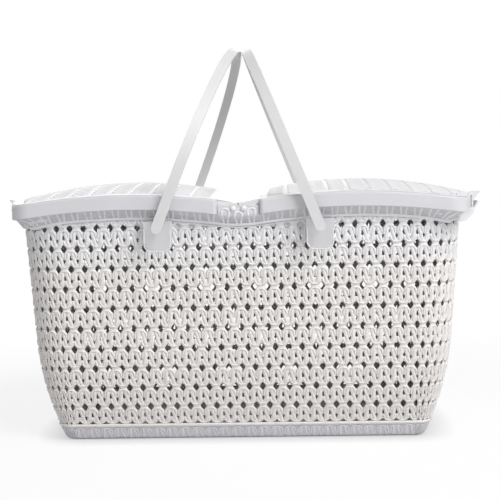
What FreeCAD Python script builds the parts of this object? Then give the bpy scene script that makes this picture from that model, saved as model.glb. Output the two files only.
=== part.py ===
import FreeCAD, Part
import Sketcher

import math
import os
import re

from FreeCAD import Placement, Rotation, Vector

# A carry basket of moulded plastic with a knit pattern: an open-work body whose ends bow outwards,
# two domed lid flaps hinged at the middle, two hoop handles and a push latch at each end.
# X runs along the basket, Y from front to back, Z up. The origin is the middle of the underside.

doc = FreeCAD.newDocument("CarryBasket")
sheet = doc.addObject("Spreadsheet::Sheet", "Sizes")

SIZES = [
    # plan of the basket: the end walls are arcs about a centre beyond the middle
    ("bow_centre", 387.0, "distance of the end arcs' centre beyond the middle"),
    ("wall_end", 265.0, "half length of the wall's outside, at the middle of an end"),
    ("wall_side", 164.5, "half depth of the wall's outside"),
    ("least_corner", 2.0, "smallest corner radius of an inner outline"),
    ("wall_corner", 54.0, "plan radius of the wall's corners"),
    ("wall_thickness", 3.0, "thickness of the knit wall"),
    # side view of the wall
    ("datum_height", 240.8, "height at which the plan sizes of the wall are given"),
    ("seam_drop", 2.0, "drop from the bead's lowest edge to the seam between wall and rim"),
    ("draft_angle", 4.43, "lean of the wall"),
    ("tuck_height", 117.8, "height below which the wall curves inwards"),
    ("tuck_radius", 307.0, "radius of that curve"),
    ("tray_height", 52.0, "top of the closed base tray"),
    ("floor_thickness", 3.0, "floor of the tray"),
    ("foot_radius", 8.0, "radius round the lower edge"),
    ("base_bead_height", 18.1, "height of the bead round the base"),
    ("base_bead_reach", 1.9, "how far that bead stands out"),
    # openwork
    ("stitch_pitch", 15.5, "stitch width"),
    ("row_pitch", 23.35, "stitch height"),
    ("row_margin", 18.2, "drop from the seam to the highest row of diamond holes"),
    ("hole_pitch", 31.0, "distance from one hole to the next in a row"),
    ("hole_width", 7.0, "width of a diamond hole"),
    ("hole_height", 11.0, "height of a diamond hole"),
    # rim, which follows two shallow arches along each side
    ("arch_crown", 129.5, "distance of an arch's crown from the middle"),
    ("arch_radius", 787.0, "radius of the arches"),
    ("valley_half", 22.0, "half width of the round valley between two arches"),
    ("bead_crown", 261.5, "top of the rim bead at a crown"),
    ("bead_height", 3.4, "height of the rim bead"),
    ("bead_reach", 1.8, "how far the rim bead stands out"),
    ("frieze_height", 10.7, "flared band between the bead and the lid"),
    ("rim_height", 23.0, "top of the rim above the bead"),
    ("rim_thickness", 2.4, "thickness of the rim"),
    # lid flaps
    ("end_overhang", 15.0, "how far the lid skirts stand beyond the wall at the middle of an end"),
    ("side_overhang", 13.5, "how far they stand beyond the wall along the sides"),
    ("skirt_corner", 24.0, "plan radius of the skirt's corners"),
    ("skirt_height", 16.6, "height of the smooth skirt"),
    ("skirt_round", 1.8, "softened upper edge of the skirt"),
    ("skirt_gap", 0.6, "play between rim and skirt"),
    ("lid_thickness", 2.4, "thickness of the lid shell"),
    ("skirt_start", 24.0, "distance of the skirt's inner end from the middle"),
    ("lid_start", 3.0, "distance of the lid's inner edge from the middle"),
    ("cheek_lift", 2.7, "height of the lid's inner edge above the rim"),
    ("cheek_end", 27.0, "distance at which the sloping cheek meets the dome"),
    ("dome_rise", 17.3, "highest point of the lids above their long edges"),
    ("dome_run", 144.0, "distance of that point from the skirt's outer end"),
    ("dome_radius", 520.0, "radius of the crest line along the basket"),
    ("seat_gap", 0.15, "gap between the lid shell and its skirt"),
    # lid hinges
    ("hinge_offset", 8.0, "distance of a lid's hinge axis from the middle"),
    ("hinge_drop", 1.8, "drop from the rim's top to the hinge axes"),
    ("knuckle_radius", 4.6, "radius of a hinge knuckle"),
    ("knuckle_length", 20.0, "length of a hinge knuckle"),
    ("hinge_pin_radius", 2.5, "radius of a hinge pin"),
    ("pin_play", 0.08, "radial clearance of the pins and studs"),
    ("end_play", 0.5, "clearance beside the knuckles"),
    # hoop handles
    ("pivot_reach", 91.8, "distance of the handle pivots from the middle"),
    ("pivot_drop", 10.5, "drop from the bead's crown to the handle pivots"),
    ("hoop_clear", 9.0, "distance from the lid skirts to the middle of the hoop's band"),
    ("hoop_leg", 47.2, "straight leg from the pivot to the hoop's arc"),
    ("band_width", 11.8, "width of the handle band"),
    ("band_thickness", 3.6, "thickness of the handle band"),
    ("handle_gap", 0.3, "gap between the two handles where they lean together"),
    ("stud_radius", 4.0, "radius of a handle stud"),
    ("stud_head_radius", 6.0, "radius of the snap head of a stud"),
    ("stud_head_length", 2.0, "length of the snap head"),
    # pivot bosses
    ("boss_width", 31.0, "width of a pivot boss"),
    ("boss_drop", 26.7, "drop from the pivot to the lower end of a boss"),
    ("boss_corner", 9.0, "radius of its lower corners"),
    ("boss_reach", 12.0, "how far the boss stands out at the pivot"),
    # end latches
    ("latch_width", 58.0, "width of tab, tongue and catch"),
    ("tongue_reach", 5.6, "distance of the tongue from the skirt"),
    ("tongue_length", 18.0, "length of the tongue below the lid's top"),
    ("latch_thickness", 2.2, "thickness of tab, tongue and catch"),
    ("tab_reach", 15.5, "reach of the thumb tab beyond the skirt"),
    ("tab_lift", 3.4, "rise of the tab's tip over the lid's edge"),
    ("catch_reach", 6.6, "reach of the catch beyond the skirt where it turns upwards"),
    ("catch_lip", 14.8, "reach of the catch's lip beyond the skirt"),
    ("catch_drop", 10.2, "drop from the end rim's bead to the catch's arm"),
    ("catch_height", 27.0, "height of the catch's lip above that"),
]

for row, (name, value, note) in enumerate(SIZES, 1):
    sheet.set("A%d" % row, note)
    sheet.set("B%d" % row, str(value))
    sheet.setAlias("B%d" % row, name)
doc.recompute()


def size(name):
    """Value of a named size, in millimetres or degrees."""
    return float(sheet.get(name))


def bind(obj, **expressions):
    """Ties properties of an object to the sheet; words in the expressions are named sizes."""
    for prop, expression in expressions.items():
        words = re.sub(r"\b([a-z]+_[a-z_]+)\b", r"Sizes.\1", expression)
        obj.setExpression(prop.replace("__", "."), words)


# ---------------------------------------------------------------- heights and reaches that follow others

def arch_drop(x):
    """How far the arched long edges lie below their crowns at a distance from the middle."""
    x = abs(x)
    radius = size("arch_radius")
    crown = size("arch_crown")
    valley = size("valley_half")
    if x >= valley:
        return radius - math.sqrt(radius ** 2 - (x - crown) ** 2)
    run = crown - valley
    slope = run / math.sqrt(radius ** 2 - run ** 2)
    edge = radius - math.sqrt(radius ** 2 - run ** 2)
    return edge + slope * (valley ** 2 - x ** 2) / (2 * valley)


middle_rim = size("bead_crown") - arch_drop(0) + size("rim_height")
hinge_height = middle_rim - size("hinge_drop")
lid_valley = middle_rim + size("cheek_lift")
skirt_base = size("bead_crown") + size("frieze_height")
dome_crest = skirt_base + size("skirt_height") + size("dome_rise")
pivot_height = size("bead_crown") - size("pivot_drop")
boss_foot = pivot_height - size("boss_drop")
skirt_end = size("wall_end") + size("end_overhang")
skirt_side = size("wall_side") + size("side_overhang")
hoop_radius = skirt_side + size("hoop_clear")


# ---------------------------------------------------------------- plan outlines

class Plan:
    """Plan outline with straight sides, round corners and bowed ends."""

    def __init__(self, end, side, corner):
        self.end = end
        self.side = side
        self.corner = corner
        self.bow_x = -size("bow_centre")
        self.bow_radius = end - self.bow_x
        self.corner_y = side - corner
        reach = math.sqrt((self.bow_radius - corner) ** 2 - self.corner_y ** 2)
        self.corner_x = self.bow_x + reach
        self.end_angle = math.asin(self.corner_y / (self.bow_radius - corner))

    def inset(self, distance):
        """The parallel outline that lies further in."""
        corner = max(self.corner - distance, size("least_corner"))
        return Plan(self.end - distance, self.side - distance, corner)

    def corner_point(self, angle, z=0.0):
        """Point of the front right corner arc, angle measured from +X."""
        x = self.corner_x + self.corner * math.cos(angle)
        y = -self.corner_y + self.corner * math.sin(angle)
        return Vector(x, y, z)

    def end_point(self, angle, z=0.0):
        """Point of the right end's arc."""
        x = self.bow_x + self.bow_radius * math.cos(angle)
        return Vector(x, self.bow_radius * math.sin(angle), z)

    def right_half(self, z=0.0):
        """Edges of the right half from the front middle to the back middle."""
        quarter = -math.pi / 2
        start = Vector(0, -self.side, z)
        turn = self.corner_point(quarter, z)
        middle = self.corner_point((quarter - self.end_angle) / 2, z)
        finish = self.corner_point(-self.end_angle, z)
        tip = self.end_point(0, z)
        mirror = lambda p: Vector(p.x, -p.y, p.z)
        return [
            Part.makeLine(start, turn),
            Part.Arc(turn, middle, finish).toShape(),
            Part.Arc(finish, tip, mirror(finish)).toShape(),
            Part.Arc(mirror(finish), mirror(middle), mirror(turn)).toShape(),
            Part.makeLine(mirror(turn), mirror(start)),
        ]

    def wire(self, z=0.0):
        """The closed outline at a height."""
        right = self.right_half(z)
        turned = [edge.rotated(Vector(0, 0, 0), Vector(0, 0, 1), 180) for edge in right]
        return Part.Wire(right + turned)

    def prism(self, low, high):
        """Solid inside the outline between two heights."""
        return Part.Face(self.wire(low)).extrude(Vector(0, 0, high - low))


wall_plan = Plan(size("wall_end"), size("wall_side"), size("wall_corner"))
skirt_plan = Plan(skirt_end, skirt_side, size("skirt_corner"))
skirt_inside = skirt_plan.inset(size("lid_thickness"))
rim_plan = skirt_inside.inset(size("skirt_gap"))


# ---------------------------------------------------------------- side view of the wall

def tuck_centre():
    """Centre of the curve that draws the wall in, as outset and height."""
    draft = math.radians(size("draft_angle"))
    start = -(size("datum_height") - size("tuck_height")) * math.tan(draft)
    radius = size("tuck_radius")
    return start - radius * math.cos(draft), size("tuck_height") + radius * math.sin(draft)


def wall_outset(z):
    """How far the wall's outside lies beyond its plan sizes at a height."""
    if z >= size("tuck_height"):
        draft = math.radians(size("draft_angle"))
        return (z - size("datum_height")) * math.tan(draft)
    centre, height = tuck_centre()
    return centre + math.sqrt(size("tuck_radius") ** 2 - (z - height) ** 2)


def wall_breaks(low, high):
    """Heights, from high to low, between which the wall is straight: it bends midway between rows of holes."""
    tuck = size("tuck_height")
    breaks = [high, tuck]
    z = seam_height - size("row_margin") - size("row_pitch") / 2
    while z > low + size("wall_thickness"):
        if z < tuck - size("wall_thickness"):
            breaks.append(z)
        z -= size("row_pitch")
    return breaks + [low]


def wall_section(low, high):
    """Section of the wall between two heights, as points of outset and height."""
    breaks = wall_breaks(low, high)
    outer = [(wall_outset(z), z) for z in breaks]
    inner = [(outset - size("wall_thickness"), z) for outset, z in reversed(outer)]
    return outer + inner


def tray_section():
    """Section of the base tray's wall, with the base bead and the round lower edge."""
    thick = size("wall_thickness")
    top = size("tray_height")
    foot = size("foot_radius")
    bead = size("base_bead_height")
    reach = size("base_bead_reach")
    floor = size("floor_thickness")
    root = wall_outset(foot)
    half = foot * (1 - math.cos(math.pi / 4))
    return [
        (wall_outset(top), top),
        (wall_outset((top + bead) / 2), (top + bead) / 2),
        (wall_outset(bead + reach), bead + reach),
        (wall_outset(bead) + reach, bead),
        (wall_outset(bead - reach), bead - reach),
        (root, foot),
        (root - half, half),
        (root - foot, 0.0),
        (root - foot - thick, 0.0),
        (root - foot - thick, floor),
        (wall_outset(floor + foot) - foot, floor),
        (wall_outset(floor + foot) - thick, floor + foot),
        (wall_outset((top + bead) / 2) - thick, (top + bead) / 2),
        (wall_outset(top) - thick, top),
    ]


# ---------------------------------------------------------------- stations round the plan

class Station:
    """A ray in plan along which every outline is met."""

    def __init__(self, x, y, angle):
        self.origin = Vector(x, y, 0)
        self.angle = angle
        self.direction = Vector(math.cos(angle), math.sin(angle), 0)

    def mirrored(self):
        """The same station on the back half."""
        return Station(self.origin.x, -self.origin.y, -self.angle)

    def meet(self, plan):
        """Point where the ray meets a plan outline."""
        if self.direction.y > 1e-9:
            point = self.mirrored().meet(plan)
            return Vector(point.x, -point.y, 0)
        if self.direction.y < -1e-9:
            reach = (-plan.side - self.origin.y) / self.direction.y
            point = self.origin + self.direction * reach
            if point.x <= plan.corner_x:
                return point
        corner = Vector(plan.corner_x, -plan.corner_y, 0)
        point = self.meet_circle(corner, plan.corner)
        if point is not None and math.atan2(point.y - corner.y, point.x - corner.x) < -plan.end_angle:
            return point
        return self.meet_circle(Vector(plan.bow_x, 0, 0), plan.bow_radius)

    def meet_circle(self, centre, radius):
        """Far point where the ray leaves a circle, or None."""
        offset = self.origin - centre
        along = offset.dot(self.direction)
        inside = along ** 2 - offset.dot(offset) + radius ** 2
        if inside < 0:
            return None
        return self.origin + self.direction * (math.sqrt(inside) - along)


def side_stations(start, finish, count):
    """Evenly spaced stations along the straight front."""
    step = (finish - start) / count
    return [Station(start + step * n, 0, -math.pi / 2) for n in range(count + 1)]


def corner_stations(plan, count):
    """Stations round the front right corner."""
    span = math.pi / 2 - plan.end_angle
    return [Station(plan.corner_x, -plan.corner_y, -math.pi / 2 + span * n / count) for n in range(count + 1)]


def bow_stations(plan, count):
    """Stations along the bowed right end, from front to back."""
    step = 2 * plan.end_angle / count
    return [Station(plan.bow_x, 0, -plan.end_angle + step * n) for n in range(count + 1)]


def end_stations(plan, corner_count, bow_count):
    """Stations round the right end of a plan, from the front corner to the back corner."""
    corner = corner_stations(plan, corner_count)[:-1]
    back = [station.mirrored() for station in reversed(corner)]
    return corner + bow_stations(plan, bow_count) + back


def closed(points):
    """Closed polygon wire."""
    return Part.makePolygon(points + points[:1])


def flat_faces(a, b, c, d):
    """One flat face on four corners, or two where they do not lie in a plane."""
    normal = (b - a).cross(c - a)
    if normal.Length > 1e-9 and abs(normal.dot(d - a)) / normal.Length < 1e-6:
        return [Part.Face(closed([a, b, c, d]))]
    return [Part.Face(closed([a, b, c])), Part.Face(closed([a, c, d]))]


def through(loops):
    """Solid of flat faces carried through closed loops of points."""
    faces = [Part.Face(closed(loops[0])), Part.Face(closed(loops[-1]))]
    for loop, following in zip(loops, loops[1:]):
        for n in range(len(loop)):
            faces.extend(flat_faces(loop[n - 1], loop[n], following[n], following[n - 1]))
    shell = Part.makeShell(faces)
    shell.sewShape()
    solid = Part.makeSolid(shell)
    if solid.Volume < 0:
        solid.reverse()
    return solid


def ring(section, stations, plan):
    """Solid of a section, given as points of outset and height, carried through stations."""
    loops = []
    for station in stations:
        foot = station.meet(plan)
        loops.append([foot + station.direction * outset + Vector(0, 0, z) for outset, z in section])
    return through(loops)


# ---------------------------------------------------------------- openwork walls

def hole_rows():
    """Heights of the rows of holes above the base tray, highest first."""
    rows = []
    z = seam_height - size("row_margin")
    while z - size("hole_height") / 2 > size("tray_height") + size("wall_thickness"):
        rows.append(z)
        z -= size("row_pitch")
    return rows


def hole_offsets(index, half_span):
    """Places of the holes in a row: every other row is set half a stitch aside."""
    pitch = size("hole_pitch")
    shift = 0.0 if index % 2 == 0 else pitch / 2
    count = int((half_span - size("hole_width") / 2 - shift) // pitch)
    right = [shift + pitch * n for n in range(count + 1)]
    left = [-p for p in right if p > 0]
    return sorted(left) + right


def diamond(centre, across, depth):
    """Diamond prism at a point, wide along one direction and deep along another."""
    half = across * (size("hole_width") / 2)
    rise = Vector(0, 0, size("hole_height") / 2)
    start = centre - depth * 0.5
    corners = [start + half, start + rise, start - half, start - rise]
    return Part.Face(Part.makePolygon(corners + corners[:1])).extrude(depth)


def front_wall():
    """Front wall panel with its rows of diamond holes."""
    stations = side_stations(-wall_plan.corner_x, wall_plan.corner_x, 1)
    panel = ring(wall_section(size("tray_height"), seam_height), stations, wall_plan)
    panel = panel.cut([stud_hole(size("pivot_reach")), stud_hole(-size("pivot_reach"))])
    depth = 4 * size("wall_thickness")
    cutters = []
    for index, z in enumerate(hole_rows()):
        for x in hole_offsets(index, wall_plan.corner_x):
            clear_of_boss = abs(abs(x) - size("pivot_reach")) > (size("boss_width") + size("hole_width")) / 2
            if z + size("hole_height") / 2 < boss_foot or clear_of_boss:
                centre = Vector(x, -wall_plan.side - wall_outset(z), z)
                cutters.append(diamond(centre, Vector(1, 0, 0), Vector(0, depth, 0)))
    return panel.cut(Part.makeCompound(cutters))


def right_wall():
    """Bowed right wall panel with its rows of diamond holes."""
    half_span = wall_plan.bow_radius * wall_plan.end_angle
    stations = bow_stations(wall_plan, round(2 * half_span / size("stitch_pitch")))
    panel = ring(wall_section(size("tray_height"), seam_height), stations, wall_plan)
    depth = 4 * size("wall_thickness")
    cutters = []
    for index, z in enumerate(hole_rows()):
        radius = wall_plan.bow_radius + wall_outset(z)
        for arc in hole_offsets(index, half_span):
            angle = arc / wall_plan.bow_radius
            outward = Vector(math.cos(angle), math.sin(angle), 0)
            centre = Vector(wall_plan.bow_x, 0, z) + outward * radius
            across = Vector(-math.sin(angle), math.cos(angle), 0)
            cutters.append(diamond(centre, across, outward * depth))
    return panel.cut(Part.makeCompound(cutters))


def base_tray():
    """Base tray: floor, round lower edge and the lower part of the wall."""
    side = side_stations(-wall_plan.corner_x, wall_plan.corner_x, 1)[:-1]
    half = ring(tray_section(), side + end_stations(wall_plan, 5, 8), wall_plan)
    turned = half.rotated(Vector(0, 0, 0), Vector(0, 0, 1), 180)
    edge = -(wall_outset(size("foot_radius")) - size("foot_radius") - size("wall_thickness"))
    plate = wall_plan.inset(edge).prism(0.0, size("floor_thickness"))
    return plate.fuse([half, turned]).removeSplitter()


# ---------------------------------------------------------------- heights of rim and lids

def arch_line(x):
    """Height of the skirts' upper edge along the long sides."""
    return skirt_base + size("skirt_height") - arch_drop(x)


def cheek_slope(x, outer):
    """Height on the straight slope from the valley up to the cheek's outer end."""
    share = (abs(x) - size("lid_start")) / (size("cheek_end") - size("lid_start"))
    return lid_valley + (outer - lid_valley) * share


def edge_height(x):
    """Height of the lid's top surface along the long sides."""
    cheek = size("cheek_end")
    if abs(x) >= cheek:
        return arch_line(x)
    return cheek_slope(x, arch_line(cheek))


def crest_height(x):
    """Height of the lid's top surface along the basket's middle line."""
    cheek = size("cheek_end")
    if abs(x) < cheek:
        return cheek_slope(x, crest_height(cheek))
    radius = size("dome_radius")
    return dome_crest - radius + math.sqrt(radius ** 2 - (abs(x) - (skirt_end - size("dome_run"))) ** 2)


def lid_height(x, y):
    """Height of the lid's top surface, an arc across the basket at every place along it."""
    edge = edge_height(x)
    crest = crest_height(x)
    sag = crest - edge
    if abs(sag) < 1e-6:
        return edge
    radius = (skirt_side ** 2 + sag ** 2) / (2 * abs(sag))
    fall = radius - math.sqrt(radius ** 2 - y ** 2)
    return crest - math.copysign(fall, sag)


def rim_line(point):
    """Height of the lid's edge above a point of the rim's plan."""
    if abs(point.y) > skirt_side - size("skirt_corner"):
        side = arch_line(point.x)
        depth = skirt_side - size("skirt_corner")
        share = (abs(point.y) - depth) / (rim_plan.side - depth)
        share = min(1.0, max(0.0, share))
        return side * share + lid_height(point.x, point.y) * (1 - share)
    return lid_height(point.x, point.y)


# ---------------------------------------------------------------- rim

def lid_stations():
    """Stations round the right lid, from its front hinge corner to its back one."""
    front = side_stations(size("skirt_start"), skirt_plan.corner_x, 8)[:-1]
    back = [station.mirrored() for station in reversed(front)]
    return front + end_stations(skirt_plan, 5, 10) + back


def lowest_bead():
    """Lowest top that the rim's bead has anywhere round the basket."""
    stations = [Station(0, 0, -math.pi / 2)] + lid_stations()
    lines = [rim_line(station.meet(rim_plan)) for station in stations]
    return min(lines) - size("skirt_height") - size("frieze_height")


seam_height = lowest_bead() - size("bead_height") - size("seam_drop")


def rim_section(station):
    """Points of the rim's section: plain foot, bead, flared frieze and upright lip."""
    wall = station.meet(wall_plan.inset(-wall_outset(seam_height)))
    edge = station.meet(rim_plan)
    across = edge - wall
    outward = Vector(across).normalize()
    line = rim_line(edge)
    top = line - size("skirt_height") - size("frieze_height") + size("rim_height")
    bead_top = top - size("rim_height")
    bead_low = bead_top - size("bead_height")
    thick = outward * size("rim_thickness")
    wall_inside = wall - outward * size("wall_thickness")
    up = Vector(0, 0, 1)
    return [
        wall + up * seam_height,
        wall + up * bead_low,
        wall + outward * size("bead_reach") + up * (bead_low + bead_top) / 2,
        wall + up * bead_top,
        wall + across * 0.42 + up * (bead_top + size("frieze_height") * 0.62),
        edge + up * (bead_top + size("frieze_height")),
        edge + up * top,
        edge - thick + up * top,
        edge - thick + up * (bead_top + size("frieze_height")),
        wall_inside + up * bead_top,
        wall_inside + up * seam_height,
    ]


def rim(stations):
    """Solid through the rim's sections."""
    return through([rim_section(station) for station in stations])


# ---------------------------------------------------------------- lid flaps

def skirt_section(station):
    """Points of the lid skirt's section."""
    outer = station.meet(skirt_plan)
    inner = station.meet(skirt_inside)
    high = rim_line(station.meet(rim_plan))
    low = high - size("skirt_height")
    up = Vector(0, 0, 1)
    soft = size("skirt_round")
    towards = (inner - outer).normalize() * soft
    return [
        outer + up * low,
        outer + up * (high - soft),
        outer + towards + up * high,
        inner + up * high,
        inner + up * low,
    ]


def lid_skirt():
    """Band round the outside of the right lid."""
    return through([skirt_section(station) for station in lid_stations()])


def lid_outline():
    """Plan of the right lid's shell, inside its skirt."""
    plan = skirt_inside.inset(size("seat_gap"))
    points = [Vector(size("lid_start"), -plan.side, 0)]
    points.extend(station.meet(plan) for station in lid_stations())
    points.append(Vector(size("lid_start"), plan.side, 0))
    return Part.Face(closed(points))


def shell_section(x):
    """Points of the lid shell's section, an arc across the basket."""
    side = skirt_side
    strips = 10
    outer = []
    for n in range(strips + 1):
        y = -side + 2 * side * n / strips
        outer.append(Vector(x, y, lid_height(x, y)))
    return outer + [point - Vector(0, 0, size("lid_thickness")) for point in reversed(outer)]


def along_y(radius, length, x, y, z):
    """Cylinder along Y."""
    return Part.makeCylinder(radius, length, Vector(x, y, z), Vector(0, 1, 0))


def lid_shell():
    """Domed shell of the right lid with its sloping cheek and two hinge knuckles."""
    start = size("lid_start")
    cheek = size("cheek_end")
    finish = skirt_end + 2
    count = 10
    places = [start] + [cheek + (finish - cheek) * n / count for n in range(count + 1)]
    dome = through([shell_section(x) for x in places])
    high = dome_crest + size("lid_thickness")
    shell = dome.common(lid_outline().extrude(Vector(0, 0, high)))
    inside = rim_plan.side - size("rim_thickness") - size("end_play")
    notch_width = size("skirt_start") - start + 2
    depth = size("knuckle_length")
    for y in (inside, -inside - depth):
        notch = Part.makeBox(notch_width, depth, high, Vector(start - 1, y, 0))
        shell = shell.cut(notch)
    x = size("hinge_offset")
    z = hinge_height
    radius = size("knuckle_radius")
    length = size("knuckle_length")
    bore = size("hinge_pin_radius") + size("pin_play")
    for y in (-inside, inside - length):
        knuckle = along_y(radius, length, x, y, z)
        web_top = crest_height(x - radius / 2) - size("lid_thickness") / 2
        web = Part.makeBox(radius, length, web_top - z, Vector(x - radius / 2, y, z))
        shell = shell.fuse([knuckle, web]).cut(along_y(bore, length + 2, x, y - 1, z))
    return shell.removeSplitter()


# ---------------------------------------------------------------- pivot bosses

def pivot_boss():
    """Wedge-shaped boss under the rim's bead at the front right."""
    wall_top = seam_height
    foot = boss_foot
    upright = wall_plan.side + wall_outset(wall_top)
    back = upright - size("wall_thickness") / 2
    top = size("bead_crown") - arch_drop(size("pivot_reach")) - size("bead_height") / 2
    face = wall_plan.side + wall_outset(pivot_height) + size("boss_reach")
    toe = wall_plan.side + wall_outset(foot)
    lean = (face - toe) / (pivot_height - foot)
    outline = [(toe, foot), (toe + lean * (top - foot), top), (back, top), (back, wall_top), (upright, wall_top)]
    x = size("pivot_reach") - size("boss_width") / 2
    wedge = Part.Face(closed([Vector(x, -y, z) for y, z in outline]))
    wedge = wedge.extrude(Vector(size("boss_width"), 0, 0))
    corner = size("boss_corner")
    reach = size("boss_reach")
    block = Part.makeBox(size("boss_width"), 5 * reach, top - foot + 1, Vector(x, -upright - 3 * reach, foot))
    lower = [e for e in block.Edges if e.BoundBox.YLength > 4 * reach and e.BoundBox.ZMax < foot + 1]
    shield = block.makeFillet(corner, lower)
    return wedge.common(shield)


def stud_hole(x):
    """Bore for a handle stud through a boss, the rim's foot and the wall."""
    reach = size("boss_reach")
    bore = size("stud_radius") + size("pin_play")
    return along_y(bore, 4 * reach, x, -wall_plan.side - 2 * reach, pivot_height)


def front_rim():
    """Rim along the front with its two pivot bosses."""
    band = rim(side_stations(-wall_plan.corner_x, wall_plan.corner_x, 14))
    boss = pivot_boss()
    other = boss.mirror(Vector(0, 0, 0), Vector(1, 0, 0))
    holes = [stud_hole(size("pivot_reach")), stud_hole(-size("pivot_reach"))]
    return band.fuse([boss, other]).cut(holes).removeSplitter()


# ---------------------------------------------------------------- end latches

def round_bow(points, width):
    """Solid of a section turned about the bow's centre, as wide as asked."""
    radius = skirt_plan.bow_radius
    half = math.degrees(math.asin(width / 2 / radius))
    face = Part.Face(closed([Vector(x, 0, z) for x, z in points]))
    face.rotate(Vector(skirt_plan.bow_x, 0, 0), Vector(0, 0, 1), -half)
    return face.revolve(Vector(skirt_plan.bow_x, 0, 0), Vector(0, 0, 1), 2 * half)


def lid_latch():
    """Thumb tab and tongue at the right lid's end."""
    skirt = skirt_end
    top = lid_height(skirt, 0) - size("skirt_round")
    thick = size("latch_thickness")
    tongue = skirt + size("tongue_reach")
    tip = skirt + size("tab_reach")
    low = top + size("skirt_round") - size("tongue_length")
    points = [
        (skirt, top),
        (tip, top + size("tab_lift")),
        (tip + 0.3, top + size("tab_lift") - thick * 0.8),
        (tongue + thick, top - 3.4 * thick),
        (tongue + thick, low),
        (tongue, low),
        (tongue, top - thick * 0.75),
        (skirt, top - thick * 1.2),
    ]
    return round_bow(points, size("latch_width"))


def end_catch():
    """Curled catch on the right end wall, open upwards round the tongue."""
    root = wall_plan.end + wall_outset(seam_height)
    skirt = skirt_end
    thick = size("latch_thickness")
    low = lid_height(skirt, 0) - size("skirt_height") - size("frieze_height") - size("catch_drop")
    bend = skirt + size("catch_reach")
    tip = skirt + size("catch_lip")
    high = low + size("catch_height")
    points = [
        (root, low),
        (skirt - 1.0, low + thick),
        (bend, low + size("catch_height") * 0.4),
        (tip, high - thick * 0.5),
        (tip - thick * 0.8, high),
        (bend - thick * 0.8, low + size("catch_height") * 0.4 + thick * 0.6),
        (skirt - 1.0 - thick * 0.5, low + thick * 2.1),
        (root, low + thick * 1.1),
    ]
    return round_bow(points, size("latch_width"))


# ---------------------------------------------------------------- document objects

def add_shape(name, shape, placement=None):
    """Sub-part whose shape comes from the functions above."""
    obj = doc.addObject("Part::Feature", name)
    obj.Label = name
    obj.Shape = shape
    if placement is not None:
        obj.Placement = placement
    return obj


half_turn = Placement(Vector(0, 0, 0), Rotation(Vector(0, 0, 1), 180))


def origin_plane(body, role):
    """One of a body's own origin planes."""
    return [item for item in body.Origin.OriginFeatures if item.Role == role][0]


def hoop_sketch(body):
    """Sketch of a hoop seen along X: two straight legs joined by a half circle."""
    sketch = body.newObject("Sketcher::SketchObject", body.Name + "_outline")
    sketch.AttachmentSupport = [(origin_plane(body, "YZ_Plane"), "")]
    sketch.MapMode = "FlatFace"
    outer = hoop_radius + size("band_thickness") / 2
    inner = hoop_radius - size("band_thickness") / 2
    leg = size("hoop_leg")
    low = -size("band_width") / 2
    up = Vector(0, 0, 1)
    centre = Vector(0, leg, 0)
    sketch.addGeometry(Part.ArcOfCircle(Part.Circle(centre, up, outer), 0, math.pi))
    sketch.addGeometry(Part.LineSegment(Vector(-outer, leg, 0), Vector(-outer, low, 0)))
    sketch.addGeometry(Part.LineSegment(Vector(-outer, low, 0), Vector(-inner, low, 0)))
    sketch.addGeometry(Part.LineSegment(Vector(-inner, low, 0), Vector(-inner, leg, 0)))
    sketch.addGeometry(Part.ArcOfCircle(Part.Circle(centre, up, inner), 0, math.pi))
    sketch.addGeometry(Part.LineSegment(Vector(inner, leg, 0), Vector(inner, low, 0)))
    sketch.addGeometry(Part.LineSegment(Vector(inner, low, 0), Vector(outer, low, 0)))
    sketch.addGeometry(Part.LineSegment(Vector(outer, low, 0), Vector(outer, leg, 0)))
    rules = [
        ("Tangent", 0, 2, 1, 1), ("Coincident", 1, 2, 2, 1), ("Coincident", 2, 2, 3, 1),
        ("Tangent", 3, 2, 4, 2), ("Tangent", 4, 1, 5, 1), ("Coincident", 5, 2, 6, 1),
        ("Coincident", 6, 2, 7, 1), ("Tangent", 7, 2, 0, 1), ("Coincident", 0, 3, 4, 3),
        ("Vertical", 1), ("Vertical", 5), ("Horizontal", 2), ("Horizontal", 6),
        ("PointOnObject", 0, 3, -2), ("Horizontal", 2, 1, 6, 2),
    ]
    for rule in rules:
        sketch.addConstraint(Sketcher.Constraint(*rule))
    driven = [
        (Sketcher.Constraint("Radius", 0, outer), "wall_side + side_overhang + hoop_clear + band_thickness / 2"),
        (Sketcher.Constraint("Radius", 4, inner), "wall_side + side_overhang + hoop_clear - band_thickness / 2"),
        (Sketcher.Constraint("DistanceY", -1, 1, 0, 3, leg), "hoop_leg"),
        (Sketcher.Constraint("DistanceY", 2, 1, -1, 1, -low), "band_width / 2"),
    ]
    for constraint, expression in driven:
        index = sketch.addConstraint(constraint)
        bind(sketch, **{"Constraints[%d]" % index: expression})
    return sketch


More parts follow.
